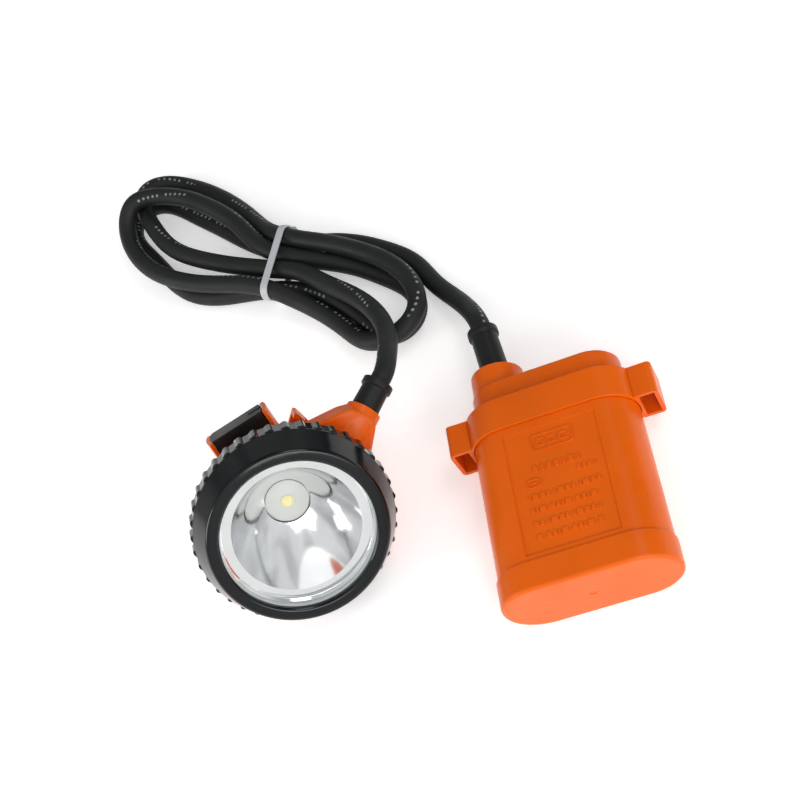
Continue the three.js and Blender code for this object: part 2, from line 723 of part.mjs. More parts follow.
// The hank: two round ends joined by straight sides to the waist under the tie. The lamp's
// lead lies on top of its right end, which is one cord taller.
function makeHank() {
  const { waist } = HANK;
  const outline = new THREE.Shape();
  const { x: lx, y: ly, radius: lr } = HANK_LEFT;
  const { x: rx, y: ry, radius: rr } = HANK_RIGHT;
  outline.absarc(lx, ly, lr, Math.PI * 0.36, Math.PI * 1.6, false);
  outline.lineTo(-4, -waist);
  outline.lineTo(8, -waist - 1);
  outline.absarc(rx, ry, rr, Math.PI * 1.4, Math.PI * 2.6, false);
  outline.lineTo(6, waist + 1);
  outline.lineTo(-6, waist + 1);
  outline.closePath();
  const options = { depth: HANK.height, bevelEnabled: false, curveSegments: 16 };
  const block = toSolid(new THREE.ExtrudeGeometry(outline, options));
  const grooveHalf = TIE.width / 2 + GAP;
  const below = TIE.low + TIE.thick + GAP;
  const overLeft = box([-150, -80, HANK.low], [8, 80, HANK.height + 1]);
  const underTie = box([-grooveHalf, -40, -1], [grooveHalf, 40, below]);
  return cut(block, overLeft, underTie);
}

// The flat tie, a closed band round the hank's waist with its lock on the far side.
function makeTie() {
  const { low, high, thick, half, width } = TIE;
  const outside = box([-width / 2, -half, low], [width / 2, half, high]);
  const inside = box([-width, thick - half, low + thick], [width, half - thick, high - thick]);
  const lock = box([-width / 2 - 1, half - thick, 6], [width / 2 + 1, half + 3, 11]);
  return join(cut(outside, inside), lock);
}

function makeHankGroup() {
  const group = new THREE.Group();
  group.position.set(HANK.x, HANK.y, 0);
  group.rotation.z = HANK.turn;
  group.add(named('cord_hank', makeHank(), 'rubber'), named('cable_tie', makeTie(), 'tie'));
  return group;
}

function makeLead(name, route) {
  const points = route.map((point) => new THREE.Vector3(...point));
  return named(name, cordTube(points, CORD_RADIUS, 10, 8), 'rubber');
}

export default new THREE.Group().add(
  makePack(),
  makeLamp(),
  makeLampSleeve(),
  makeHankGroup(),
  makeLead('cord_lead_pack', PACK_LEAD),
  makeLead('cord_lead_lamp', LAMP_LEAD),
);
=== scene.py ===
"""A miner's cap lamp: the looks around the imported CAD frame. Metres, +Z up."""

import math

import bpy
import bmesh
import numpy as np
from mathutils import Matrix, Vector


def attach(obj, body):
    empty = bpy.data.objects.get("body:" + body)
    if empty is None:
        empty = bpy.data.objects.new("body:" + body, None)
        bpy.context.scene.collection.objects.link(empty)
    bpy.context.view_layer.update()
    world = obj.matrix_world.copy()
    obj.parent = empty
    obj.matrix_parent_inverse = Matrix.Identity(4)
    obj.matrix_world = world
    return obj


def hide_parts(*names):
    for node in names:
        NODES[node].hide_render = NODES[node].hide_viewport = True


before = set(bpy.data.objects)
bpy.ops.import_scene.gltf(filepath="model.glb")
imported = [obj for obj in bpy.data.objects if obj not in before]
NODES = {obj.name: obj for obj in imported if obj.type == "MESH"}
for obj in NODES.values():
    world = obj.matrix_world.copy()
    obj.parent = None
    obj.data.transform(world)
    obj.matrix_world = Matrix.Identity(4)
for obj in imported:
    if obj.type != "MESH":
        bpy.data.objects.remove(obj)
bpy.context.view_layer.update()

MM = 0.001
ROOT = "pack_and_lamp"
scene = bpy.context.scene


def linked(name, data):
    """A new object in the scene."""
    piece = bpy.data.objects.new(name, data)
    scene.collection.objects.link(piece)
    return piece


# ---------- dimensions the CAD also has, in millimetres ----------

CORD_RADIUS = 4.35
LAMP_FACE = Vector((-50.8, -20.4, 46.1))
LAMP_UP = Vector((-0.11808, 0.50823, 0.85309))
LAMP_AXIS = Vector((0.32203, -0.79307, 0.51705))
HANK_CENTRE = Vector((-61.8, 146.5, 0))
HANK_TURN = -0.626
PACK_CENTRE = Vector((53.2, -65.5, 17.4))


# ---------- camera ----------

CAMERA_PLACE = Vector((0.1478, -0.2944, 0.5135))
CAMERA_BACK = Vector((0.254, -0.547, 0.798)).normalized()
CAMERA_RIGHT = Vector((0.915, -0.130, -0.381))
CAMERA_LENS = 65.43
CAMERA_SENSOR = 36


def add_camera():
    right = (CAMERA_RIGHT - CAMERA_BACK * CAMERA_RIGHT.dot(CAMERA_BACK)).normalized()
    up = CAMERA_BACK.cross(right)
    data = bpy.data.cameras.new("camera")
    data.lens = CAMERA_LENS
    data.sensor_width = CAMERA_SENSOR
    camera = linked("camera", data)
    turn = Matrix((right, up, CAMERA_BACK)).transposed().to_4x4()
    camera.matrix_world = Matrix.Translation(CAMERA_PLACE) @ turn
    scene.camera = camera


add_camera()


# ---------- the cord's route ----------

# the free lead from the pack's sleeve, in the row frame
PACK_LEAD = [
    (31.1, 65.8, 17.4),
    (30.8, 68.5, 17.3),
    (29.9, 72.5, 16.4),
    (27.7, 79, 13.7),
    (24.2, 87, 10.2),
    (19.2, 96, 7),
    (13.2, 105.5, 4.9),
    (8, 114, 4.4),
]
# along, across and height in the hank's own frame: a strand, then its fold, then the next strand
HANK_ROUTE = [
    # from the pack, under the right-hand folds
    (69.8, 19, 4.4), (56, 22.5, 4.4), (36, 24, 4.4), (18, 22, 4.4), (6, 17.5, 4.4),
    (-4, 12.5, 4.4), (-14, 10.5, 4.4), (-24, 11, 4.4), (-38, 13.4, 4.4), (-52, 16.4, 4.4),
    (-66, 18.8, 4.4), (-78, 21.2, 4.4), (-90, 22, 4.4),
    # first left fold, the lowest
    (-100.5, 18.5, 4.4), (-104, 9.5, 4.4), (-99.5, 0, 4.4), (-88, -6.5, 4.4), (-72, -13.5, 4.4),
    (-56, -20.3, 4.4), (-40, -22.7, 4.4), (-24, -19, 4.4), (-10, -13.5, 4.4), (2, -11, 4.4),
    (16, -8, 4.8), (33, -7.8, 5), (47, -11.4, 4.6), (58, -16, 4.4),
    # first right fold, the inner one
    (66.5, -19.6, 4.4), (74.7, -17.3, 4.4), (79.4, -11, 4.4), (79.8, -3.6, 4.4), (75.6, 3.2, 4.4),
    (67.8, 7.2, 4.4), (57, 9.2, 4.6), (38, 11, 6), (20, 9.5, 9), (6, 6.5, 11.5), (-6, 5.5, 13),
    (-22, 10.5, 14.5), (-36, 15.8, 16.5), (-48, 18.6, 17.5), (-60, 20.3, 18.2), (-72, 20.6, 18.8),
    (-86, 18, 18.8),
    # second left fold, over the others
    (-95.5, 12, 18), (-97.5, 1.5, 16), (-90.5, -8, 14), (-78, -16, 13), (-62, -20.5, 13),
    (-47, -21, 13), (-30, -19, 13), (-14, -15.5, 13), (2, -13.5, 12.5), (18, -13.5, 9),
    (34, -15.8, 6), (50, -19.6, 5), (62, -22.6, 6.5),
    # second right fold, over the first
    (73, -24.3, 10.8), (81.5, -18.6, 13.2), (85, -9.5, 13.4), (81.5, -1, 13), (75, 6, 13.1),
    (63, 12, 13.2), (47, 15.5, 13.2), (32, 16, 13), (16, 15, 13), (2, 14, 13), (-10, 14.2, 12.5),
    (-22, 18.5, 10), (-34, 24, 6.5), (-52, 30.5, 4.6), (-72, 34.5, 4.4), (-86, 34.8, 4.8),
    # third left fold, between the others
    (-94.8, 32.6, 8), (-100, 25.6, 12), (-99.6, 17.4, 13.3), (-93.6, 10.4, 13.5), (-84, 4.8, 13.4),
    (-73, -2, 13), (-57, -6.5, 12.5), (-38, -6.5, 11.5), (-18, -5, 11.5), (-2, -3, 12.3),
    (14, -1.2, 13.5), (28, -4.2, 14), (40, -6, 14.5), (52, -8.6, 16), (63, -12.4, 18.8),
    (72.5, -17.2, 21.2),
]
# the free lead up to the lamp's sleeve, in the row frame
LAMP_LEAD = [
    (-10.7, 84.4, 22.3),
    (-9.3, 76.4, 24),
    (-8.7, 68.6, 27),
    (-8.6, 61, 30.4),
    (-8.9, 54.5, 33),
    (-10.1, 49.4, 34.5),
    (-11.2, 47.4, 34.8),
    (-12.3, 46, 34.8),
]
FINE_STEPS = 20  # points put between two given ones before a curve is cut into even steps
STEP = 2.5  # spacing of the cord's points while it settles
SETTLE_ROUNDS = 400
GUIDED_PART = 0.7  # part of the rounds in which the cord is drawn back to its route
GUIDE_PULL = 0.02
PUSH = 0.55  # part of an overlap taken away in one round
STIFFNESS = 0.3
HELD_POINTS = 6  # points at each end that stay where they are
STRAND_GAP = 0.15
FLOOR_GAP = 0.02
UNPUSHED_SPAN = 2.6  # diameters along the cord within which its points do not push each other


def hank_to_row(point):
    """A point of the hank's own frame in the row's frame."""
    along, across, height = point
    cos, sin = math.cos(HANK_TURN), math.sin(HANK_TURN)
    return (
        HANK_CENTRE.x + cos * along - sin * across,
        HANK_CENTRE.y + sin * along + cos * across,
        height,
    )


def smooth_line(points, spacing):
    """A centripetal Catmull-Rom curve through the points, cut into even steps."""
    p = np.array(points, float)
    p = np.vstack([2 * p[0] - p[1], p, 2 * p[-1] - p[-2]])
    knots = np.concatenate([[0], np.cumsum(np.linalg.norm(np.diff(p, axis=0), axis=1) ** 0.5)])
    fine = []
    for i in range(1, len(p) - 2):
        t0, t1, t2, t3 = knots[i - 1 : i + 3]
        t = np.linspace(t1, t2, FINE_STEPS, endpoint=False)[:, None]
        a1 = (t1 - t) / (t1 - t0) * p[i - 1] + (t - t0) / (t1 - t0) * p[i]
        a2 = (t2 - t) / (t2 - t1) * p[i] + (t - t1) / (t2 - t1) * p[i + 1]
        a3 = (t3 - t) / (t3 - t2) * p[i + 1] + (t - t2) / (t3 - t2) * p[i + 2]
        b1 = (t2 - t) / (t2 - t0) * a1 + (t - t0) / (t2 - t0) * a2
        b2 = (t3 - t) / (t3 - t1) * a2 + (t - t1) / (t3 - t1) * a3
        fine.append((t2 - t) / (t2 - t1) * b1 + (t - t1) / (t2 - t1) * b2)
    return even(np.vstack(fine + [p[-2:-1]]), spacing)


def lengths_along(line):
    """Each point's distance from the line's start, along the line."""
    return np.concatenate([[0], np.cumsum(np.linalg.norm(np.diff(line, axis=0), axis=1))])


def even(line, spacing):
    """The same line with its points evenly spaced."""
    lengths = lengths_along(line)
    steps = max(2, round(lengths[-1] / spacing))
    at = np.linspace(0, lengths[-1], steps + 1)
    return np.stack([np.interp(at, lengths, line[:, k]) for k in range(3)], 1)


TIE_MIDDLE = (0.85, -0.95)  # where the tie crosses, in the hank's frame
TIE_NORMAL = (0.976, 0.218)
TIE_WIDTH = 3.6
TIE_THICK = 1.1
TIE_REACH = 26  # strands within this of the tie's middle go through it
TIE_LIFT = 1.25  # how far the hank stands off the floor on its tie
TIE_LIFT_SIDE = 30  # how far the lift reaches across the hank
TIE_LIFT_RUN = 15  # how fast it fades along the hank


def tie_coordinates(line):
    """Distance from the tie's plane, and place across the hank within that plane."""
    cos, sin = math.cos(HANK_TURN), math.sin(HANK_TURN)
    dx, dy = line[:, 0] - HANK_CENTRE.x, line[:, 1] - HANK_CENTRE.y
    along, across = cos * dx + sin * dy - TIE_MIDDLE[0], -sin * dx + cos * dy - TIE_MIDDLE[1]
    off = along * TIE_NORMAL[0] + across * TIE_NORMAL[1]
    side = -along * TIE_NORMAL[1] + across * TIE_NORMAL[0]
    return off, side


def lift_at_tie(line):
    """The hank stands on its tie there, a tie's thickness off the floor."""
    off, side = tie_coordinates(line)
    near = np.where(np.abs(side) < TIE_LIFT_SIDE, 1.0, 0.0)
    return TIE_LIFT * near * np.exp(-((off / TIE_LIFT_RUN) ** 2))


def settle(line):
    """Pushes overlapping strands a diameter apart, keeps them on the floor and eases bends."""
    apart = 2 * CORD_RADIUS + STRAND_GAP
    near = int(math.ceil(UNPUSHED_SPAN * apart / STEP))
    guide = line.copy()
    index = np.arange(len(line))
    far_enough = np.abs(index[:, None] - index[None]) > near
    free = np.ones((len(line), 1))
    free[:HELD_POINTS] = 0
    free[-HELD_POINTS:] = 0
    for turn in range(SETTLE_ROUNDS):
        gap = line[:, None] - line[None]
        size = np.linalg.norm(gap, axis=2) + 1e-9
        push = np.where(far_enough, np.maximum(apart - size, 0), 0)
        neighbours = np.maximum((push > 0).sum(1), 1)[:, None]
        move = ((push / size)[..., None] * gap).sum(1) / neighbours
        bend = np.zeros_like(line)
        bend[1:-1] = (line[:-2] + line[2:]) / 2 - line[1:-1]
        stiff = np.zeros_like(line)
        stiff[2:-2] = (bend[1:-3] + bend[3:-1]) / 2 - bend[2:-2]
        calm = GUIDE_PULL if turn < SETTLE_ROUNDS * GUIDED_PART else 0.0
        line = line + free * (PUSH * move - STIFFNESS * stiff + calm * (guide - line))
        line[:, 2] = np.maximum(line[:, 2], CORD_RADIUS + FLOOR_GAP + lift_at_tie(line))
    return line


def cord_line():
    points = list(PACK_LEAD) + [hank_to_row(p) for p in HANK_ROUTE] + list(LAMP_LEAD)
    return settle(smooth_line(points, STEP))


CORD_LINE = cord_line()


# ---------- material helpers ----------


def new_material(name, color, roughness, metal=0.0, **sockets):
    """A material, its node tree and its shader, with plain values on the shader's sockets."""
    material = bpy.data.materials.new(name)
    material.use_nodes = True
    tree = material.node_tree
    shader = tree.nodes["Principled BSDF"]
    shader.inputs["Base Color"].default_value = (*color, 1)
    shader.inputs["Roughness"].default_value = roughness
    shader.inputs["Metallic"].default_value = metal
    for socket, value in sockets.items():
        shader.inputs[socket.replace("_", " ")].default_value = value
    return material, tree, shader


def link(tree, source, target):
    tree.links.new(source, target)


def noise(tree, scale, detail=3.0, where="Object"):
    """A noise texture in the object's own coordinates, which are metres."""
    place = tree.nodes.new("ShaderNodeTexCoord")
    texture = tree.nodes.new("ShaderNodeTexNoise")
    texture.inputs["Scale"].default_value = scale
    texture.inputs["Detail"].default_value = detail
    link(tree, place.outputs[where], texture.inputs["Vector"])
    return texture.outputs["Fac"]


def ramp(tree, factor, low, high, start=0.3, end=0.7):
    """A factor turned into a colour between two colours."""
    node = tree.nodes.new("ShaderNodeValToRGB")
    node.color_ramp.elements[0].position = start
    node.color_ramp.elements[0].color = (*low, 1)
    node.color_ramp.elements[1].position = end
    node.color_ramp.elements[1].color = (*high, 1)
    link(tree, factor, node.inputs["Fac"])
    return node.outputs["Color"]


def spread(tree, factor, low, high, start=0.3, end=0.7):
    """A factor turned into a number between two numbers."""
    node = tree.nodes.new("ShaderNodeMapRange")
    node.inputs["From Min"].default_value = start
    node.inputs["From Max"].default_value = end
    node.inputs["To Min"].default_value = low
    node.inputs["To Max"].default_value = high
    link(tree, factor, node.inputs["Value"])
    return node.outputs["Result"]


def bump(tree, shader, *layers):
    """Bumps laid over each other: pairs of a height and its depth in metres."""
    normal = None
    for height, depth in layers:
        node = tree.nodes.new("ShaderNodeBump")
        node.inputs["Distance"].default_value = depth
        node.inputs["Strength"].default_value = 1.0
        link(tree, height, node.inputs["Height"])
        if normal is not None:
            link(tree, normal, node.inputs["Normal"])
        normal = node.outputs["Normal"]
    link(tree, normal, shader.inputs["Normal"])


def shade(color, factor):
    return tuple(c * factor for c in color)


def moulded(
    name, color, roughness, grain=900, grain_depth=0.00003, variation=0.06, wear=0.05, **sockets
):
    """Moulded plastic or rubber: a fine grain, faint flow clouding and handling marks."""
    material, tree, shader = new_material(name, color, roughness, **sockets)
    clouds = noise(tree, 28, 4)
    clouded = ramp(tree, clouds, shade(color, 1 - variation), shade(color, 1 + variation))
    link(tree, clouded, shader.inputs["Base Color"])
    smears = noise(tree, 70, 5)
    worn = spread(tree, smears, roughness - wear, roughness + wear)
    link(tree, worn, shader.inputs["Roughness"])
    coarse, fine = noise(tree, 120, 2), noise(tree, grain, 2)
    bump(tree, shader, (coarse, grain_depth * 1.4), (fine, grain_depth))
    return material


def metal(name, color, roughness, grain=500, depth=0.00001, wear=0.06):
    """Bare metal with fine marks and a faint unevenness."""
    material, tree, shader = new_material(name, color, roughness, 1.0)
    marks = noise(tree, grain, 4)
    worn = spread(tree, marks, roughness - wear, roughness + wear)
    link(tree, worn, shader.inputs["Roughness"])
    clouded = ramp(tree, noise(tree, 60, 3), shade(color, 0.92), shade(color, 1.0))
    link(tree, clouded, shader.inputs["Base Color"])
    bump(tree, shader, (marks, depth))
    return material


ORANGE = (0.77, 0.118, 0.0015)
orange = moulded("orange_plastic", ORANGE, 0.31, wear=0.07, Specular_IOR_Level=0.24)
# name, colour, roughness, grain, its depth in metres, variation and wear
gloss_black = moulded(
    "gloss_black", (0.003, 0.0038, 0.0048), 0.12, 700, 0.000012, 0.15, 0.04,
    Specular_IOR_Level=0.36,
)
switch_black = moulded(
    "switch_black", (0.007, 0.0074, 0.008), 0.4, 1400, 0.00005, 0.12, 0.07,
    Specular_IOR_Level=0.3,
)
seal_rubber = moulded("seal_rubber", (0.012, 0.012, 0.012), 0.65, 1200, 0.00004, 0.15, 0.06)
sleeve_rubber = moulded(
    "sleeve_rubber", (0.008, 0.0085, 0.0095), 0.45, 1100, 0.00005, 0.15, 0.08,
    Specular_IOR_Level=0.32,
)
tie_grey = moulded(
    "tie_nylon", (0.5, 0.52, 0.54), 0.4, 800, 0.00003, 0.05, 0.08,
    Subsurface_Weight=0.15, Subsurface_Radius=(0.002, 0.002, 0.002),
)
frosted = moulded("frosted_lens_edge", (0.5, 0.56, 0.58), 0.3, 900, 0.00002, 0.06, 0.06)
board_green = moulded("solder_mask", (0.012, 0.09, 0.03), 0.3, 900, 0.00002, 0.1, 0.05)
cell_wrap = moulded("cell_wrap", (0.02, 0.09, 0.32), 0.3, 700, 0.00001, 0.05, 0.05)
led_white = moulded("led_board_white", (0.6, 0.61, 0.58), 0.42, 900, 0.00001, 0.03, 0.05)
phosphor = moulded(
    "led_phosphor", (0.82, 0.76, 0.33), 0.3, 1500, 0.00003, 0.06, 0.05, Coat_Weight=0.4
)
mirror = metal("metallised_mirror", (0.9, 0.91, 0.92), 0.09, 160, depth=0.00002, wear=0.03)
brass = metal("brass", (0.78, 0.52, 0.28), 0.24)
steel = metal("steel", (0.58, 0.58, 0.6), 0.3)
nickel = metal("nickel", (0.68, 0.66, 0.62), 0.28)
aluminium = metal("turned_aluminium", (0.76, 0.77, 0.79), 0.34)


def make_lens_material():
    """Clear moulded polycarbonate, with faint haze marks."""
    material, tree, shader = new_material("clear_lens", (0.9, 0.95, 0.96), 0.03, Alpha=0.03)
    haze = noise(tree, 45, 5)
    link(tree, spread(tree, haze, 0.015, 0.05), shader.inputs["Roughness"])
    return material


lens_clear = make_lens_material()

# the print on the cord, in millimetres: dots, in words, in groups of words
DOT_PITCH = 2.9
DOT_RADIUS_SQUARED = 0.5
WORD_PITCH = 17.4
WORD_GAP = 0.17  # part of a word's pitch
GROUP_PITCH = 61.0
GROUP_PRINTED = 0.56  # part of a group's pitch
CORD_GIRTH = 27.3


def make_cord_material():
    """Matt rubber with a faint grain and groups of pale printed dots along one side."""
    dark, pale = (0.0082, 0.0096, 0.0095), (0.3, 0.32, 0.31)
    material, tree, shader = new_material("cord_rubber", dark, 0.55, Specular_IOR_Level=0.36)
    place = tree.nodes.new("ShaderNodeUVMap")
    place.uv_map = "along"
    parts = tree.nodes.new("ShaderNodeSeparateXYZ")
    link(tree, place.outputs["UV"], parts.inputs["Vector"])

    def math_node(kind, a, b=None):
        node = tree.nodes.new("ShaderNodeMath")
        node.operation = kind
        for slot, value in enumerate((a, b)):
            if value is None:
                continue
            if isinstance(value, (int, float)):
                node.inputs[slot].default_value = value
            else:
                link(tree, value, node.inputs[slot])
        return node.outputs["Value"]

    # U runs along the cord in millimetres, V once round it
    along, around = parts.outputs["X"], parts.outputs["Y"]

    def phase(pitch):
        return math_node("FRACT", math_node("DIVIDE", along, pitch))

    def squared_from_middle(part, size):
        away = math_node("ABSOLUTE", math_node("SUBTRACT", part, 0.5))
        return math_node("POWER", math_node("MULTIPLY", away, size), 2.0)

    dot_far = math_node(
        "ADD",
        squared_from_middle(phase(DOT_PITCH), DOT_PITCH),
        squared_from_middle(around, CORD_GIRTH),
    )
    dot = math_node("LESS_THAN", dot_far, DOT_RADIUS_SQUARED)
    group = math_node("LESS_THAN", phase(GROUP_PITCH), GROUP_PRINTED)
    word = math_node("GREATER_THAN", phase(WORD_PITCH), WORD_GAP)
    printed = math_node("MULTIPLY", math_node("MULTIPLY", dot, group), word)
    faded = math_node("MULTIPLY", printed, spread(tree, noise(tree, 300, 3), 0.35, 1.0))
    mix = tree.nodes.new("ShaderNodeMix")
    mix.data_type = "RGBA"
    link(tree, faded, mix.inputs["Factor"])
    rubber = ramp(tree, noise(tree, 45, 4), shade(dark, 0.75), shade(dark, 1.25))
    link(tree, rubber, mix.inputs["A"])
    mix.inputs["B"].default_value = (*pale, 1)
    link(tree, mix.outputs["Result"], shader.inputs["Base Color"])
    link(tree, spread(tree, noise(tree, 90, 4), 0.5, 0.68), shader.inputs["Roughness"])
    bump(tree, shader, (noise(tree, 240, 3), 0.00006), (noise(tree, 1500, 2), 0.00005))
    return material


cord_rubber = make_cord_material()


# ---------- mesh helpers ----------


def shade_smooth(work, angle):
    """Smooth faces, with the edges kept sharp that turn by more than the angle, in degrees."""
    for face in work.faces:
        face.smooth = True
    for edge in work.edges:
        if len(edge.link_faces) == 2 and edge.calc_face_angle(0) > math.radians(angle):
            edge.smooth = False


def new_object(name, vertices, faces, material, angle=40):
    """A mesh object from points in millimetres of the row's frame."""
    mesh = bpy.data.meshes.new(name)
    mesh.from_pydata([tuple(float(c) * MM for c in v) for v in vertices], [], faces)
    mesh.validate()
    work = bmesh.new()
    work.from_mesh(mesh)
    bmesh.ops.remove_doubles(work, verts=work.verts, dist=1e-7)
    bmesh.ops.recalc_face_normals(work, faces=work.faces)
    shade_smooth(work, angle)
    work.to_mesh(mesh)
    work.free()
    mesh.materials.append(material)
    return linked(name, mesh)


def ring_faces(rings, count, around=True, across=True, base=0):
    """Quads between rings of points that follow each other.

    around joins the last ring to the first, and across a ring's last point to its first.
    """
    faces = []
    for i in range(rings if around else rings - 1):
        here, ahead = base + i * count, base + (i + 1) % rings * count
        for k in range(count if across else count - 1):
            after = (k + 1) % count
            faces.append((here + k, here + after, ahead + after, ahead + k))
    return faces


LAMP_Z = LAMP_AXIS.normalized()
LAMP_Y = (LAMP_UP - LAMP_Z * LAMP_UP.dot(LAMP_Z)).normalized()
LAMP_X = LAMP_Y.cross(LAMP_Z)


def lamp_place(x, y, z):
    """A point of the lamp's frame (right, towards the switch, out of the lens) in the row's."""
    return LAMP_FACE + x * LAMP_X + y * LAMP_Y + z * LAMP_Z


def axis_frame(start, way, side):
    """Places a point given round an axis: along the way, and across it."""
    z = Vector(way).normalized()
    x = (Vector(side) - z * Vector(side).dot(z)).normalized()
    y = z.cross(x)
    origin = Vector(start)
    return lambda a, b, c: origin + a * x + b * y + c * z


def turned(
    name, profile, material, place, segments=160, closed=True, ripple=None, angle=40
):
    """A profile of radius and depth turned round an axis.

    place puts x, y and minus the depth into the row's frame, and ripple changes a radius.
    """
    vertices = []
    for i in range(segments):
        turn = 2 * math.pi * i / segments
        for radius, depth in profile:
            r = ripple(radius, depth, turn) if ripple else radius
            vertices.append(place(r * math.cos(turn), r * math.sin(turn), -depth))
    faces = ring_faces(segments, len(profile), across=closed)
    return new_object(name, vertices, faces, material, angle=angle)


CORNER_STEPS = 4


def rounded(profile, radius, steps=CORNER_STEPS):
    """A closed profile with every corner rounded off by up to that radius."""
    out = []
    count = len(profile)
    for i in range(count):
        a, b, c = (np.array(profile[k % count], float) for k in (i - 1, i, i + 1))
        to_a, to_c = a - b, c - b
        reach = min(radius, np.linalg.norm(to_a) * 0.45, np.linalg.norm(to_c) * 0.45)
        p = b + to_a / max(np.linalg.norm(to_a), 1e-9) * reach
        q = b + to_c / max(np.linalg.norm(to_c), 1e-9) * reach
        for k in range(steps + 1):
            t = k / steps
            bent = (1 - t) ** 2 * p + 2 * t * (1 - t) * b + t * t * q
            out.append(tuple(float(v) for v in bent))
    return out


def stand_in(piece, slot, *nodes, body=ROOT):
    """The piece rides on its body and takes the place of the CAD nodes."""
    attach(piece, body)
    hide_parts(*nodes)
    return piece


# ---------- the cord ----------

CORD_SIDES = 28


def sway(part):
    """How far the print has turned off the cord's top, in radians."""
    return 1.15 * math.sin(19 * part + 0.5) + 0.45 * math.sin(47 * part)


def tube_mesh(name, line, radius, material):
    """A round tube along a line, with U along it in millimetres and V round it.

    The middle of V faces up, and sways to either side along the tube.
    """
    tangents = np.gradient(line, axis=0)
    tangents /= np.linalg.norm(tangents, axis=1)[:, None]
    normal = np.cross(tangents[0], (0, 0, 1.0))
    normal /= np.linalg.norm(normal)
    vertices, distances = [], lengths_along(line)
    for i, (point, way) in enumerate(zip(line, tangents)):
        normal = normal - way * normal.dot(way)
        normal /= np.linalg.norm(normal)
        other = np.cross(way, normal)
        twist = math.atan2(other[2], normal[2]) + sway(i / len(line)) - math.pi
        for k in range(CORD_SIDES):
            angle = 2 * math.pi * k / CORD_SIDES + twist
            vertices.append(point + radius * (math.cos(angle) * normal + math.sin(angle) * other))
    faces = ring_faces(len(line), CORD_SIDES, around=False)
    last = (len(line) - 1) * CORD_SIDES
    faces.append(tuple(range(CORD_SIDES))[::-1])
    faces.append(tuple(range(last, last + CORD_SIDES)))
    mesh = bpy.data.meshes.new(name)
    mesh.from_pydata([tuple(v * MM) for v in vertices], [], faces)
    layer = mesh.uv_layers.new(name="along")
    for polygon in mesh.polygons:
        columns = [v % CORD_SIDES for v in polygon.vertices]
        wraps = max(columns) - min(columns) > CORD_SIDES / 2 and len(columns) == 4
        for loop, vertex, column in zip(polygon.loop_indices, polygon.vertices, columns):
            v = column + (CORD_SIDES if wraps and column == 0 else 0)
            layer.data[loop].uv = (distances[vertex // CORD_SIDES], v / CORD_SIDES)
        polygon.use_smooth = len(columns) == 4
    mesh.materials.append(material)
    return linked(name, mesh)


SLEEVE_DEPTH = 2.6  # how far the cord is seen to run on inside each sleeve


def run_into_sleeves(line):
    """The line with a straight piece added at each end."""

    def beyond(end, before):
        return end + (end - before) / np.linalg.norm(end - before) * SLEEVE_DEPTH

    return np.vstack([beyond(line[0], line[1]), line, beyond(line[-1], line[-2])])


cord_path = smooth_line(run_into_sleeves(CORD_LINE), 1.25)
cord = tube_mesh("cord", cord_path, CORD_RADIUS, cord_rubber)
stand_in(cord, "cord_rubber", "cord_lead_pack", "cord_lead_lamp", "cord_hank")


# ---------- the tie round the hank ----------


def hull(points):
    """Convex outline of flat points, anticlockwise."""
    ordered = sorted(map(tuple, points))
    halves = []
    for run in (ordered, ordered[::-1]):
        chain = []
        for q in run:
            while len(chain) > 1:
                (ax, ay), (bx, by) = chain[-2], chain[-1]
                if (bx - ax) * (q[1] - ay) - (by - ay) * (q[0] - ax) > 0:
                    break
                chain.pop()
            chain.append(q)
        halves += chain[:-1]
    return np.array(halves)


def tie_outline():
    """Outline of the strands in the tie's plane, as place across and height."""
    off, side = tie_coordinates(CORD_LINE)
    points = []
    for i in np.where(off[:-1] * off[1:] < 0)[0]:
        if abs(side[i]) > TIE_REACH:
            continue
        part = off[i] / (off[i] - off[i + 1])
        across = side[i] + part * (side[i + 1] - side[i])
        height = CORD_LINE[i, 2] + part * (CORD_LINE[i + 1, 2] - CORD_LINE[i, 2])
        step = np.array([side[i + 1] - side[i], CORD_LINE[i + 1, 2] - CORD_LINE[i, 2]])
        lean = abs(off[i + 1] - off[i]) / np.linalg.norm([off[i + 1] - off[i], *step])
        way = step / max(np.linalg.norm(step), 1e-9)
        for turn in np.linspace(0, 2 * math.pi, 48, endpoint=False):
            long = CORD_RADIUS * math.cos(turn) / max(lean, 0.6)
            short = CORD_RADIUS * math.sin(turn)
            x = across + long * way[0] - short * way[1]
            y = height + long * way[1] + short * way[0]
            points.append((x, y))
    outline = hull(points)
    closed = np.vstack([outline, outline[:1]])
    closed = np.column_stack([closed, np.zeros(len(closed))])
    return even(closed, 0.8)[:-1, :2]


def grown(outline, distance):
    """The outline moved outwards."""
    ahead, behind = np.roll(outline, -1, 0), np.roll(outline, 1, 0)
    way = ahead - behind
    normal = np.column_stack([way[:, 1], -way[:, 0]])
    normal /= np.linalg.norm(normal, axis=1)[:, None]
    return outline + distance * normal


def tie_place(off, across, height):
    """A point given from the tie's plane in the row's frame."""
    along = TIE_MIDDLE[0] + off * TIE_NORMAL[0] - across * TIE_NORMAL[1]
    side = TIE_MIDDLE[1] + off * TIE_NORMAL[1] + across * TIE_NORMAL[0]
    return hank_to_row((along, side, height))


TIE_SLACK = 0.1  # between the band and the strands
TIE_EDGE = 0.25
TIE_CUT = 0.45  # bevel of the lock head and the tail
TIE_BLOCKS = (
    # the lock head and the cut end of the tail: two opposite corners
    ((-2.7, -0.1, -2.6), (2.7, 3.6, 2.6)),
    ((-1.6, 1.4, 2.4), (1.6, 2.4, 5.4)),
)


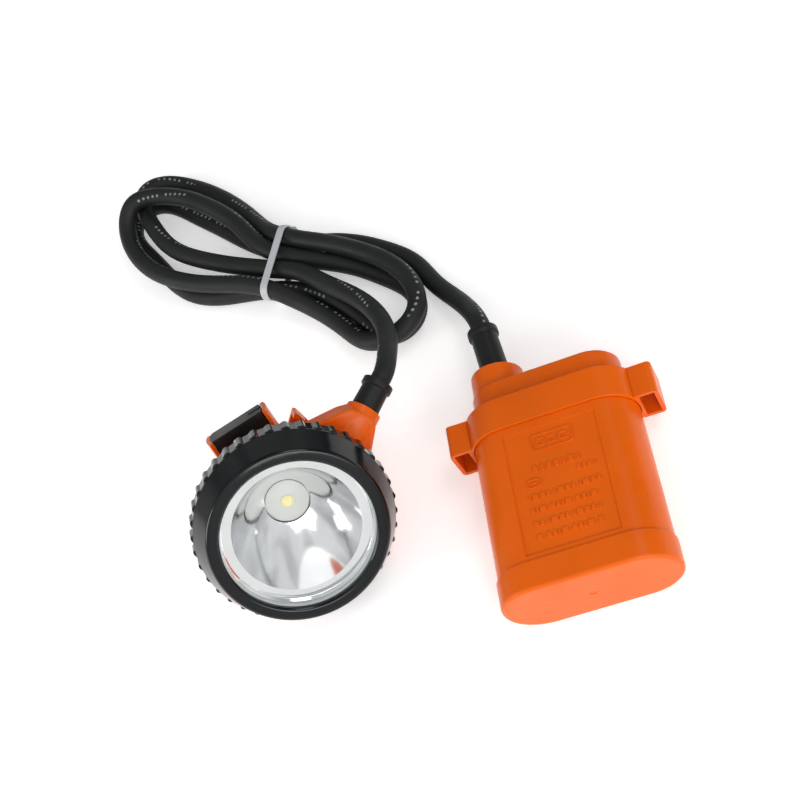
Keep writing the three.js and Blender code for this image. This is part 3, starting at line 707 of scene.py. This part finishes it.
def make_tie():
    """A flat nylon band, with its lock head on the far side."""
    outline = tie_outline()
    half, edge, slack = TIE_WIDTH / 2, TIE_EDGE, TIE_SLACK
    section = [
        (-half, slack + edge), (-half + edge, slack), (half - edge, slack), (half, slack + edge),
        (half, TIE_THICK - edge), (half - edge, TIE_THICK),
        (-half + edge, TIE_THICK), (-half, TIE_THICK - edge),
    ]
    rings = [grown(outline, out) for _, out in section]
    vertices = []
    for i in range(len(outline)):
        for ring, (off, _) in zip(rings, section):
            vertices.append(tie_place(off, ring[i][0], ring[i][1]))
    faces = ring_faces(len(outline), len(section))
    far = int(np.argmax(outline[:, 0] - 0.25 * np.abs(outline[:, 1] - 9)))
    across, height = outline[far]
    for low, high in TIE_BLOCKS:
        base = len(vertices)
        layers = (
            (low[1], TIE_CUT), (low[1] + TIE_CUT, 0), (high[1] - TIE_CUT, 0), (high[1], TIE_CUT),
        )
        for t, inset in layers:
            for u, w in ((0, 0), (1, 0), (1, 1), (0, 1)):
                off = low[0] + inset if u == 0 else high[0] - inset
                up = low[2] + inset if w == 0 else high[2] - inset
                vertices.append(tie_place(off, across + t, height + up))
        faces.extend(ring_faces(len(layers), 4, around=False, base=base))
        faces.append((base, base + 3, base + 2, base + 1))
        faces.append((base + 12, base + 13, base + 14, base + 15))
    return new_object("tie", vertices, faces, tie_grey, angle=35)


tie = stand_in(make_tie(), "tie_grey", "cable_tie")


# ---------- sleeves ----------

SLEEVE_RADIUS = 5.9
SLEEVE_BORE = 4.42
SLEEVE_LIP = 6.7
SLEEVE_LIP_LENGTH = 3.4
SLEEVE_ROOT_DEPTH = 6


def make_sleeve(name, start, way, root_way, length):
    """A rubber sleeve: its root in the housing, a plain barrel and an end lip for the cord."""
    radius, lip, bore = SLEEVE_RADIUS, SLEEVE_LIP, SLEEVE_BORE
    lip_start = length - SLEEVE_LIP_LENGTH
    bottom = SLEEVE_DEPTH + 0.4 - length
    outer = [
        (bore, 0.2 - length), (lip, -length), (lip, -lip_start - 0.3), (radius - 0.1, -lip_start),
        (radius + 0.15, -0.7), (0, -0.7), (0, bottom), (bore, bottom),
    ]
    place = axis_frame(start, way, (0, 0, 1))
    barrel = turned(name, rounded(outer, 0.35, 3), sleeve_rubber, place, 64)
    depth = SLEEVE_ROOT_DEPTH
    root = [(0, depth), (radius, depth), (radius, -1.2), (0, -1.2)]
    place = axis_frame(start, root_way, (0, 0, 1))
    plug = turned(name + "_root", root, sleeve_rubber, place, 64, closed=False)
    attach(plug, ROOT)
    return barrel


lamp_way = Vector((0.6, 0.8, 0))
lamp_sleeve = make_sleeve("lamp_sleeve", (-20.7, 34.8, 34.8), lamp_way, lamp_way, 13.4)
stand_in(lamp_sleeve, "sleeve_rubber", "lamp_strain_relief")
pack_way = Vector((-math.sin(0.1), math.cos(0.1), 0))
pack_sleeve = make_sleeve("pack_sleeve", (33.6, 40.9, 17.4), pack_way, (0, 1, 0), 24.6)
stand_in(pack_sleeve, "sleeve_rubber", "pack_strain_relief")


# ---------- housings: the CAD shapes with their moulded edges rounded ----------


ROUNDED_OVER = 32  # degrees: edges that turn by more are rounded
SHARP_OVER = 50  # degrees: edges that still turn by more are shaded sharp
WIDE_CORNER = 2.4
OPEN_MERGE, HELD_MERGE = 0.02, 0.03  # points this close are merged after the rounding


def bake(piece):
    """The piece's mesh with its modifiers applied."""
    bpy.context.view_layer.update()
    whole = piece.evaluated_get(bpy.context.evaluated_depsgraph_get())
    mesh = bpy.data.meshes.new_from_object(whole)
    piece.modifiers.clear()
    piece.data = mesh


def without_slivers(work, merge):
    """Closes up the slivers that rounding leaves in tight corners."""
    bmesh.ops.remove_doubles(work, verts=work.verts, dist=merge * MM)
    bmesh.ops.dissolve_degenerate(work, dist=merge / 3 * MM, edges=work.edges)
    bmesh.ops.recalc_face_normals(work, faces=work.faces)
    shade_smooth(work, SHARP_OVER)


def bevel(work, edges, width, segments):
    bmesh.ops.bevel(
        work, geom=edges, offset=width * MM, segments=segments, affect="EDGES", profile=0.5
    )


def round_outward(work, edge, shortest):
    """Rounds the outward edges that are at least that long."""
    picked = [
        e for e in work.edges
        if len(e.link_faces) == 2
        and e.is_convex
        and e.calc_face_angle(0) > math.radians(ROUNDED_OVER)
        and e.calc_length() > shortest * MM
    ]
    bevel(work, picked, edge, 2)
    without_slivers(work, OPEN_MERGE)


def round_all(piece, edge):
    """Rounds every edge, held back where edges lie close together."""
    rounding = piece.modifiers.new("rounding", "BEVEL")
    rounding.width = edge * MM
    rounding.segments = 3
    rounding.limit_method = "ANGLE"
    rounding.angle_limit = math.radians(ROUNDED_OVER)
    rounding.use_clamp_overlap = True
    bake(piece)
    work = bmesh.new()
    work.from_mesh(piece.data)
    without_slivers(work, HELD_MERGE)
    work.to_mesh(piece.data)
    work.free()


def refined(node, material, slot, edge, body=ROOT, shortest=None, wide=None):
    """The CAD shape with its edges rounded and its curves shaded smooth.

    edge is the rounding in millimetres. With shortest, only outward edges that long are rounded,
    which keeps narrow inside corners clean. wide picks edges, by their two ends, for a wide corner.
    """
    source = NODES[node]
    mesh = source.data.copy()
    mesh.transform(source.matrix_world)
    work = bmesh.new()
    work.from_mesh(mesh)
    bmesh.ops.remove_doubles(work, verts=work.verts, dist=1e-6)
    flat = math.radians(1.0 if shortest else 0.5)
    bmesh.ops.dissolve_limit(work, angle_limit=flat, verts=work.verts, edges=work.edges)
    if wide:
        picked = [e for e in work.edges if wide(e.verts[0].co / MM, e.verts[1].co / MM)]
        bevel(work, picked, WIDE_CORNER, 5)
    if shortest:
        round_outward(work, edge, shortest)
    work.to_mesh(mesh)
    work.free()
    piece = linked(node + "_moulded", mesh)
    if not shortest:
        round_all(piece, edge)
    weighted = piece.modifiers.new("weighted", "WEIGHTED_NORMAL")
    weighted.keep_sharp = True
    bake(piece)
    piece.data.materials.clear()
    piece.data.materials.append(material)
    return stand_in(piece, slot, node, body=body)


refined("base_cap", orange, "orange_shell", 0.35)
refined("battery_case", orange, "orange_shell", 0.25)


LOOP_OUTSIDE = 43.8  # the belt loops' outer face, from the pack's middle


def loop_corner(a, b):
    """Whether an edge is one of the belt loops' outer corners, along the pack."""
    outside = all(abs(abs(p.x - PACK_CENTRE.x) - LOOP_OUTSIDE) < 0.1 for p in (a, b))
    return outside and abs(a.y - b.y) > 10


refined("loop_band", orange, "orange_shell", 0.3, shortest=1.6, wide=loop_corner)
refined("top_cover", orange, "orange_shell", 0.35, shortest=0.9)
refined("lamp_shell", orange, "orange_shell", 0.3, shortest=1.6)
refined("helmet_hook", orange, "orange_shell", 0.25, shortest=0.6)
refined("switch_knob", switch_black, "switch_black", 0.5, body="switch")


# ---------- raised marks on the case's front ----------


def pack_place(x, y, z):
    """A point of the pack's frame (across, along, out of its front) in the row's frame."""
    return PACK_CENTRE + Vector((x, y, z))


def round_outline(width, height, radius, steps=5):
    """Outline of a rounded rectangle round the origin."""
    out = []
    for corner, (sx, sy) in enumerate(((1, 1), (-1, 1), (-1, -1), (1, -1))):
        for k in range(steps + 1):
            turn = math.pi / 2 * (corner + k / steps)
            x = sx * (width / 2 - radius) + radius * math.cos(turn)
            out.append((x, sy * (height / 2 - radius) + radius * math.sin(turn)))
    return out


MARK_BASE = 14.8
MARK_TOP = 16.0
MARK_EDGE = 0.12
ROW_PITCH = 5.7
ROW_START = -13.4
ROW_END = 14.6


def add_rings(vertices, faces, x, y, rings, closed):
    """Rounded rectangles (height off the pack's middle, width, length, radius), joined up."""
    base = len(vertices)
    for z, width, length, radius in rings:
        outline = round_outline(width, length, radius)
        vertices.extend(pack_place(x + px, y + py, z) for px, py in outline)
    count = (len(vertices) - base) // len(rings)
    faces.extend(ring_faces(len(rings), count, around=closed, base=base))
    return base, count


def add_mark(vertices, faces, x, y, width, height, radius):
    """A raised mark with a softened top edge."""
    soft = min(MARK_EDGE, width / 4, height / 4)
    top_width, top_height = width - 2 * soft, height - 2 * soft
    low_radius = min(radius, width / 2, height / 2)
    top_radius = min(max(radius - soft, 0.02), top_width / 2, top_height / 2)
    rings = (
        (MARK_BASE, width, height, low_radius),
        (MARK_TOP - soft, width, height, low_radius),
        (MARK_TOP, top_width, top_height, top_radius),
    )
    base, count = add_rings(vertices, faces, x, y, rings, closed=False)
    faces.append(tuple(base + k for k in range(count))[::-1])
    faces.append(tuple(base + 2 * count + k for k in range(count)))


def add_frame(vertices, faces, x, y, width, height, radius, line):
    """A raised outline of a rounded rectangle."""
    levels = (
        (MARK_BASE, 0), (MARK_TOP - MARK_EDGE, 0), (MARK_TOP, MARK_EDGE),
        (MARK_TOP, line - MARK_EDGE), (MARK_TOP - MARK_EDGE, line), (MARK_BASE, line),
    )
    rings = [
        (z, width - 2 * inset, height - 2 * inset, max(radius - inset, 0.05))
        for z, inset in levels
    ]
    add_rings(vertices, faces, x, y, rings, closed=True)


def make_marks():
    vertices, faces = [], []
    add_frame(vertices, faces, 0.4, 60.3, 17, 7.4, 1.6, 0.6)
    for x in (-4.2, 0.4, 5):
        add_frame(vertices, faces, x, 60.3, 3.4, 3.6, 0.6, 0.75)
    # a line of large marks, a short line and an oval
    for k, width in enumerate((1.9, 1.2, 1.9, 1.9, 0.9, 1.9, 0.9)):
        add_mark(vertices, faces, -8.6 + 2.9 * k, 49.2, width, 3, 0.4)
    for k, width in enumerate((1.5, 1.1, 1.1, 0.6)):
        add_mark(vertices, faces, 8.2 + 2.2 * k, 44.6, width, 2.2, 0.3)
    add_frame(vertices, faces, -10.2, 43.4, 6, 3.9, 1.94, 0.5)
    add_mark(vertices, faces, -10.2, 43.4, 2.4, 0.7, 0.3)
    # rows of short dashes of uneven lengths
    for row in range(4):
        x = ROW_START
        k = 0
        while x < ROW_END - row * 0.5:
            width = 0.75 + 0.55 * ((k * 7 + row * 5) % 4)
            add_mark(vertices, faces, x + width / 2, 37.6 - ROW_PITCH * row, width, 2.2, 0.3)
            x += width + 0.75 + (0.9 if (k + row) % 4 == 3 else 0)
            k += 1
    return new_object("case_marks", vertices, faces, orange, angle=35)


marks = make_marks()
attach(marks, ROOT)


# ---------- lamp head ----------

BEZEL_RADIUS = 41.2
BEZEL_RIBS = 40
RIB_HEIGHT = 0.9
RIB_START, RIB_END = 12.3, 19  # depths behind the face
BEZEL_PROFILE_START = [
    (31.5, 0.7), (32.3, 0), (36.1, 0), (36.9, 0.8), (40.9, 10.9), (BEZEL_RADIUS, 11.5),
    (BEZEL_RADIUS, 12.2),
]
RIB_DEPTHS = (12.25, 12.6, 13.4, 15.5, 17.6, 18.6, 18.95, 19.05)
BEZEL_PROFILE_END = [
    (41, 19.2), (38.3, 19.2), (38.3, 8.4), (34.5, 8.4), (34.5, 2.4), (31.5, 2.4), (31.5, 0.9),
]


def bezel_ripple(radius, depth, turn):
    """The saw-shaped grip ribs round the bezel's rear."""
    if radius < 41 or not RIB_START < depth < RIB_END:
        return radius
    pitch = 2 * math.pi * radius / BEZEL_RIBS
    place = ((turn / (2 * math.pi) * BEZEL_RIBS + 0.5) % 1 - 0.5) * pitch
    height = np.interp(place, (-1.6, -0.7, 0.5, 2.2), (0, 1, 1, 0))
    return radius + RIB_HEIGHT * float(height)


def make_bezel():
    # the first and last corners only give their neighbours a direction
    skipped = CORNER_STEPS + 1
    profile = rounded(BEZEL_PROFILE_START, 0.5)[skipped:-skipped]
    profile += [(BEZEL_RADIUS, depth) for depth in RIB_DEPTHS] + BEZEL_PROFILE_END
    return turned("bezel", profile, gloss_black, lamp_place, 480, ripple=bezel_ripple, angle=32)


stand_in(make_bezel(), "bezel_black", "bezel_ring", body="bezel")

MIRROR_FOCUS = 5
MIRROR_APEX = 42
MIRROR_FRONT, MIRROR_HOLE = 7.2, 37.2  # depths behind the face
MIRROR_RIM = 8.4
MIRROR_WALL = 1.4


def bowl(depth):
    """Radius of the parabolic mirror at a depth behind the face."""
    return math.sqrt(4 * MIRROR_FOCUS * (MIRROR_APEX - depth))


def make_reflector():
    inside = [(bowl(d), d) for d in np.linspace(MIRROR_FRONT, MIRROR_HOLE, 48).tolist()]
    outside = [
        (bowl(d) + MIRROR_WALL, d)
        for d in np.linspace(MIRROR_HOLE, MIRROR_FRONT, 24).tolist()
        if d > MIRROR_RIM
    ]
    rim = [
        (bowl(MIRROR_RIM) + MIRROR_WALL, MIRROR_RIM), (33.8, MIRROR_RIM), (33.8, 7.1), (31.4, 7.1),
        (31.4, 5.5), (31.1, 5.4), (30.8, 5.6), (30.6, 6.8), (30.2, 7.1),
    ]
    return turned("mirror_bowl", inside + outside + rim, mirror, lamp_place, 192, angle=30)


stand_in(make_reflector(), "reflector_mirror", "reflector")

LENS_FRONT, LENS_BACK = 2.7, 5.1
CLEAR_RADIUS = 30.9
LENS_RADIUS = 34.2

lens_profile = [
    (0, LENS_FRONT), (20, LENS_FRONT), (CLEAR_RADIUS, LENS_FRONT),
    (CLEAR_RADIUS, LENS_BACK), (20, LENS_BACK), (0, LENS_BACK),
]
clear_disc = turned("lens_disc", lens_profile, lens_clear, lamp_place, 160, closed=False)
lens_edge = [
    (CLEAR_RADIUS + 0.05, LENS_FRONT), (LENS_RADIUS, LENS_FRONT),
    (LENS_RADIUS, LENS_BACK), (CLEAR_RADIUS + 0.05, LENS_BACK),
]
lens_rim = turned("lens_rim", rounded(lens_edge, 0.35), frosted, lamp_place, 160)
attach(lens_rim, "lens_stack")
stand_in(clear_disc, "lens_clear", "lens", body="lens_stack")
seal_profile = rounded([(31.6, 5.4), (LENS_RADIUS, 5.4), (LENS_RADIUS, 6.5), (31.6, 6.5)], 0.3)
seal_ring = turned("lens_seal_ring", seal_profile, seal_rubber, lamp_place, 128)
stand_in(seal_ring, "seal_rubber", "lens_seal", body="lens_stack")
board_profile = [(0, 37.6), (9.0, 37.6), (9.3, 37.8), (9.3, 39.2), (0, 39.2)]
led_disc = turned("led_disc", board_profile, led_white, lamp_place, 96, closed=False)
stand_in(led_disc, "led_white", "led_board")
dome_profile = [
    (0, 36.2), (0.7, 36.24), (1.3, 36.4), (1.75, 36.7), (1.95, 37.0), (2.6, 37.02), (2.6, 37.3),
    (0, 37.3),
]
led_dome = turned("led_dome", dome_profile, phosphor, lamp_place, 64, closed=False)
stand_in(led_dome, "led_phosphor", "led_emitter")


# ---------- the other CAD pieces keep their meshes ----------

CAD_MATERIALS = (
    (seal_rubber, ("cover_seal", "head_seal")),
    (steel, ("cover_screw_1", "cover_screw_2", "hook_screw_1", "hook_screw_2", "switch_shaft")),
    (brass, ("charge_stud_1",)),
    (switch_black, ("switch_body", "cell_holder_bottom", "cell_holder_top")),
    (cell_wrap, ("cell_1", "cell_2", "cell_3")),
    (nickel, ("nickel_strip_bottom", "nickel_strip_top")),
    (board_green, ("protection_board", "driver_board")),
    (aluminium, ("heat_sink",)),
)
for material, names in CAD_MATERIALS:
    for node in names:
        NODES[node].data.materials.clear()
        NODES[node].data.materials.append(material)


# ---------- floor, light and finish ----------


FLOOR_HALF = 8.0
FLOOR_GLOW = 0.4


def make_floor():
    half = FLOOR_HALF
    corners = [(-half, -half, 0), (half, -half, 0), (half, half, 0), (-half, half, 0)]
    mesh = bpy.data.meshes.new("floor")
    mesh.from_pydata(corners, [], [(0, 1, 2, 3)])
    material, tree, shader = new_material(
        "floor_white", (0.94, 0.94, 0.94), 0.8,
        Emission_Color=(1, 1, 1, 1), Emission_Strength=FLOOR_GLOW,
    )
    clouded = ramp(tree, noise(tree, 3, 2), (0.93, 0.93, 0.93), (0.95, 0.95, 0.95))
    link(tree, clouded, shader.inputs["Base Color"])
    mesh.materials.append(material)
    floor = linked("floor", mesh)


def add_panel(name, place, size, power):
    """A soft light that faces the origin; its size in metres, its power in watts."""
    data = bpy.data.lights.new(name, "AREA")
    data.shape = "RECTANGLE"
    data.size, data.size_y = size
    data.energy = power
    light = linked(name, data)
    turn = Vector(place).to_track_quat("Z", "Y").to_matrix().to_4x4()
    light.matrix_world = Matrix.Translation(place) @ turn


def add_world():
    """A room that is bright in front and darker behind, with soft patches for the mirror."""
    world = bpy.data.worlds.new("studio")
    world.use_nodes = True
    tree = world.node_tree
    background = tree.nodes["Background"]
    background.inputs["Strength"].default_value = 1.0
    way = tree.nodes.new("ShaderNodeSeparateXYZ")
    place = tree.nodes.new("ShaderNodeTexCoord")
    link(tree, place.outputs["Generated"], way.inputs["Vector"])
    front = spread(tree, way.outputs["Y"], 0.75, 0.0, -0.5, 0.45)
    patches = spread(tree, noise(tree, 1.9, 1, where="Generated"), -0.12, 0.5, 0.34, 0.64)
    total = tree.nodes.new("ShaderNodeMath")
    total.operation = "ADD"
    link(tree, front, total.inputs[0])
    link(tree, patches, total.inputs[1])
    low, high = (0.13, 0.135, 0.14), (0.86, 0.86, 0.85)
    light = ramp(tree, total.outputs["Value"], low, high, 0.0, 1.0)
    link(tree, light, background.inputs["Color"])
    scene.world = world


make_floor()
add_world()
add_panel("key", (0.45, -0.9, 0.55), (0.6, 0.45), 4.4)
add_panel("top", (0.55, 0.1, 0.95), (0.5, 0.35), 1.7)
add_panel("side", (-0.9, -0.2, 0.45), (0.25, 0.5), 2.2)
scene.view_settings.view_transform = "Standard"
scene.view_settings.look = "None"
